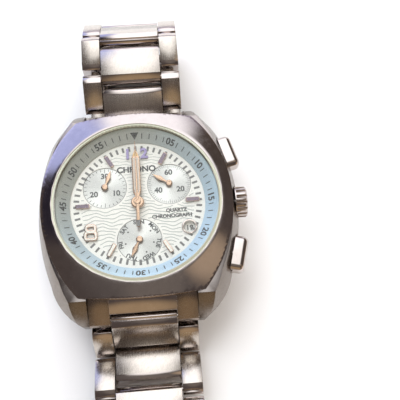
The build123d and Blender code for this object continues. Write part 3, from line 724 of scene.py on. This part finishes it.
def counter_scale(centre, steps, inner, wide, numbers):
    """Ticks round a counter and upright numbers; inner is where the long and the short ticks start."""
    at = (centre.x, centre.y)
    for step in range(steps):
        place = clockwise(step * 360 / steps, at, floor)
        scale.bar(wide, inner[0] if step % 5 == 0 else inner[1], 4.5, 0, PRINT_T, place)
    for words, step in numbers:
        turn = step * 360 / steps
        place = clockwise(turn, at, floor) @ Matrix.Translation((0, 2.75, 0))
        place = place @ Matrix.Rotation(math.radians(turn), 4, "Z")
        scale.text(words, 1.72, PRINT_T, place, bold=0.055)


counter_scale(COUNTER, 30, (3.55, 3.95), 0.11, (("30", 0), ("10", 10), ("20", 20)))
counter_scale(SECONDS, 60, (3.65, 4.0), 0.09, (("60", 0), ("20", 20), ("40", 40)))
for step, words in enumerate(("SUN", "MON", "TUE", "WED", "THU", "FRI", "SAT")):
    turn = step * 360 / 7
    place = clockwise(turn, (DAYS.x, DAYS.y), floor) @ Matrix.Translation((0, 3.95, 0))
    scale.text(words, 1.2, PRINT_T, place, bold=0.045)
    dot = [(0.19 * math.cos(k * math.pi / 6), 0.19 * math.sin(k * math.pi / 6)) for k in range(12)]
    scale.prism(dot, 0, PRINT_T, clockwise(turn, (DAYS.x, DAYS.y), floor) @ Matrix.Translation((0, 3.0, 0)))
scale.piece("counter_scales", BODY, PRINT, "dial_paint")

words = Gather()
words.text("CHRONO", 1.9, PRINT_T, Matrix.Translation((0, 8.0, DIAL)), bold=0.07)
words.text("QUARTZ", 1.1, PRINT_T, Matrix.Translation((8.1, -2.1, DIAL)), bold=0.05)
words.text("CHRONOGRAPH", 1.1, PRINT_T, Matrix.Translation((7.1, -3.35, DIAL)), bold=0.05)
words.piece("dial_lettering", BODY, PRINT, "dial_paint")

# ---- hour markers and date ------------------------------------------------------------------
refined("hour_markers", [MARKER], bevel=0.07, dissolve=0.2)
refined("date_frame", [SILVER_RIM], bevel=0.06, dissolve=0.2)
lume, plum = Gather(), Gather()
for hour in (1, 3, 5, 7, 9, 11):
    inlay = lume if hour in (5, 7) else plum
    inlay.bar(0.5 if hour in (5, 7) else 0.80, 10.35, 13.05, INLAY_LOW, INLAY_HIGH, clockwise(hour * 30))
eight = Matrix.Translation((-10.1, -5.9, 0))
for y, wide, tall in ((0.8, 1.85, 1.25), (-0.85, 2.25, 1.55)):
    outer = rounded(wide + 0.24, tall + 0.24, 0.5)
    inner = rounded(wide - 0.24, tall - 0.24, 0.35)
    lume.band(outer, inner, INLAY_LOW, INLAY_HIGH, eight @ Matrix.Translation((0, y, 0)))
lume.piece("marker_lume", BODY, LUME, "dial_paint")
plum.piece("marker_plum", BODY, PLUM, "rose_gold")
twelve = Gather()
twelve.text("1", 3.3, 0.36, Matrix.Translation((-1.75, 11.6, DIAL)), bold=0.12)
twelve.text("2", 3.3, 0.36, Matrix.Translation((1.85, 11.6, DIAL)), bold=0.12)
twelve.piece("marker_twelve", BODY, TWELVE, "rose_gold")
refined("date_ring", [WHITE], bevel=0, dissolve=0.1)
date_top = box_mm("date_ring")[1].z
dates = Gather()
turn = math.degrees(math.atan2(DATE.x, DATE.y))
reach = math.hypot(DATE.x, DATE.y)
for day in range(31):
    angle = turn + (DATE_SHOWN - (day + 1)) * 360 / 31
    place = clockwise(angle, height=date_top) @ Matrix.Translation((0, reach, 0))
    place = place @ Matrix.Rotation(math.radians(turn), 4, "Z")
    dates.text(str(day + 1), 1.55, PRINT_T, place, bold=0.04)
dates.piece("date_numbers", BODY_OF["date_ring"], PRINT, "white_plastic")


# ---- hands ------------------------------------------------------------------------------------
def dress_hand(node, lume=None):
    """Polished frame of the hand, with a lume inlay between two heights along it."""
    refined(node, [ROSE], bevel=0.05, dissolve=0.2)
    if not lume:
        return
    half, start, stop = lume
    top = box_mm(node)[1].z
    strip = Gather()
    strip.prism([(-half * 0.7, start), (half * 0.7, start), (half, start + 1.0), (half, stop),
                 (-half, stop), (-half, start + 1.0)], top - 0.05, top + 0.015)
    strip.piece(node + "_lume", BODY_OF[node], HAND_LUME, "dial_paint")


def hub(node, centre, outer, inner, high):
    """Raised ring round a hand's pivot."""
    top = box_mm(node)[1].z
    ring = Gather()
    ring.add(*turned([(inner, top - 0.02), (inner, top + high), (outer - 0.06, top + high), (outer, top + high / 2),
                      (outer, top - 0.02)], 64, (centre.x, centre.y)))
    ring.piece(node + "_hub", BODY_OF[node], ROSE, "rose_gold")


dress_hand("hour_hand", (0.58, 1.8, 5.5))
dress_hand("minute_hand", (0.60, 2.0, 10.3))
dress_hand("chrono_seconds_hand")
for node, centre in (("minute_counter_hand", COUNTER), ("small_seconds_hand", SECONDS), ("day_hand", DAYS)):
    dress_hand(node)
    hub(node, centre, 0.7, 0.32, 0.08)
tip = Gather()
tip_top = box_mm("minute_hand")[1].z
tip.prism([(-0.5, 10.7), (0.5, 10.7), (0.1, 12.1), (-0.1, 12.1)], tip_top - 0.05, tip_top + 0.012)
tip.piece("minute_hand_tip", BODY_OF["minute_hand"], TIP_LUME, "dial_paint")
hub("minute_hand", Vector((0, 0, 0)), 1.22, 0.9, 0.10)
hub("chrono_seconds_hand", Vector((0, 0, 0)), 0.62, 0.30, 0.12)
# painted shade: a dark grey patch over the end of the chrono hand's tail
tail_painted_shade = Gather()
tail_top = box_mm("chrono_seconds_hand")[1].z
tail_painted_shade.prism([(-0.4, -5.35), (-0.34, -5.7), (0.34, -5.7), (0.4, -5.35), (0.4, -4.3), (-0.4, -4.3)],
           tail_top - 0.05, tail_top + 0.012)
tail_painted_shade.piece("chrono_seconds_tail_painted_shade", BODY_OF["chrono_seconds_hand"], GREY_PRINT, "dial_paint")


# ---- floor and lights -----------------------------------------------------------------------
floor_mesh = mesh_from("floor", [(-900, -900, 0), (900, -900, 0), (900, 900, 0), (-900, 900, 0)], [(0, 1, 2, 3)])
floor = bpy.data.objects.new("floor", floor_mesh)
bpy.context.scene.collection.objects.link(floor)
floor.location.z = -0.00002
floor_mesh.materials.append(satin("floor_white", (0.93, 0.93, 0.93), 0.7, 0.02, 0.01, 0.0))

area_light("key", (-0.16, 0.10, 0.30), (0, 0, 0.01), (0.30, 0.30), 0.75, (0.90, 0.95, 1.0))
area_light("front", (0.12, -0.28, 0.22), (0, 0, 0.01), (0.30, 0.30), 0.70, (1.0, 0.95, 0.90))
area_light("rim", (0.05, 0.30, 0.16), (0, 0.02, 0.01), (0.30, 0.20), 0.60, (1.0, 1.0, 1.0))

bpy.context.scene.view_settings.view_transform = "Standard"
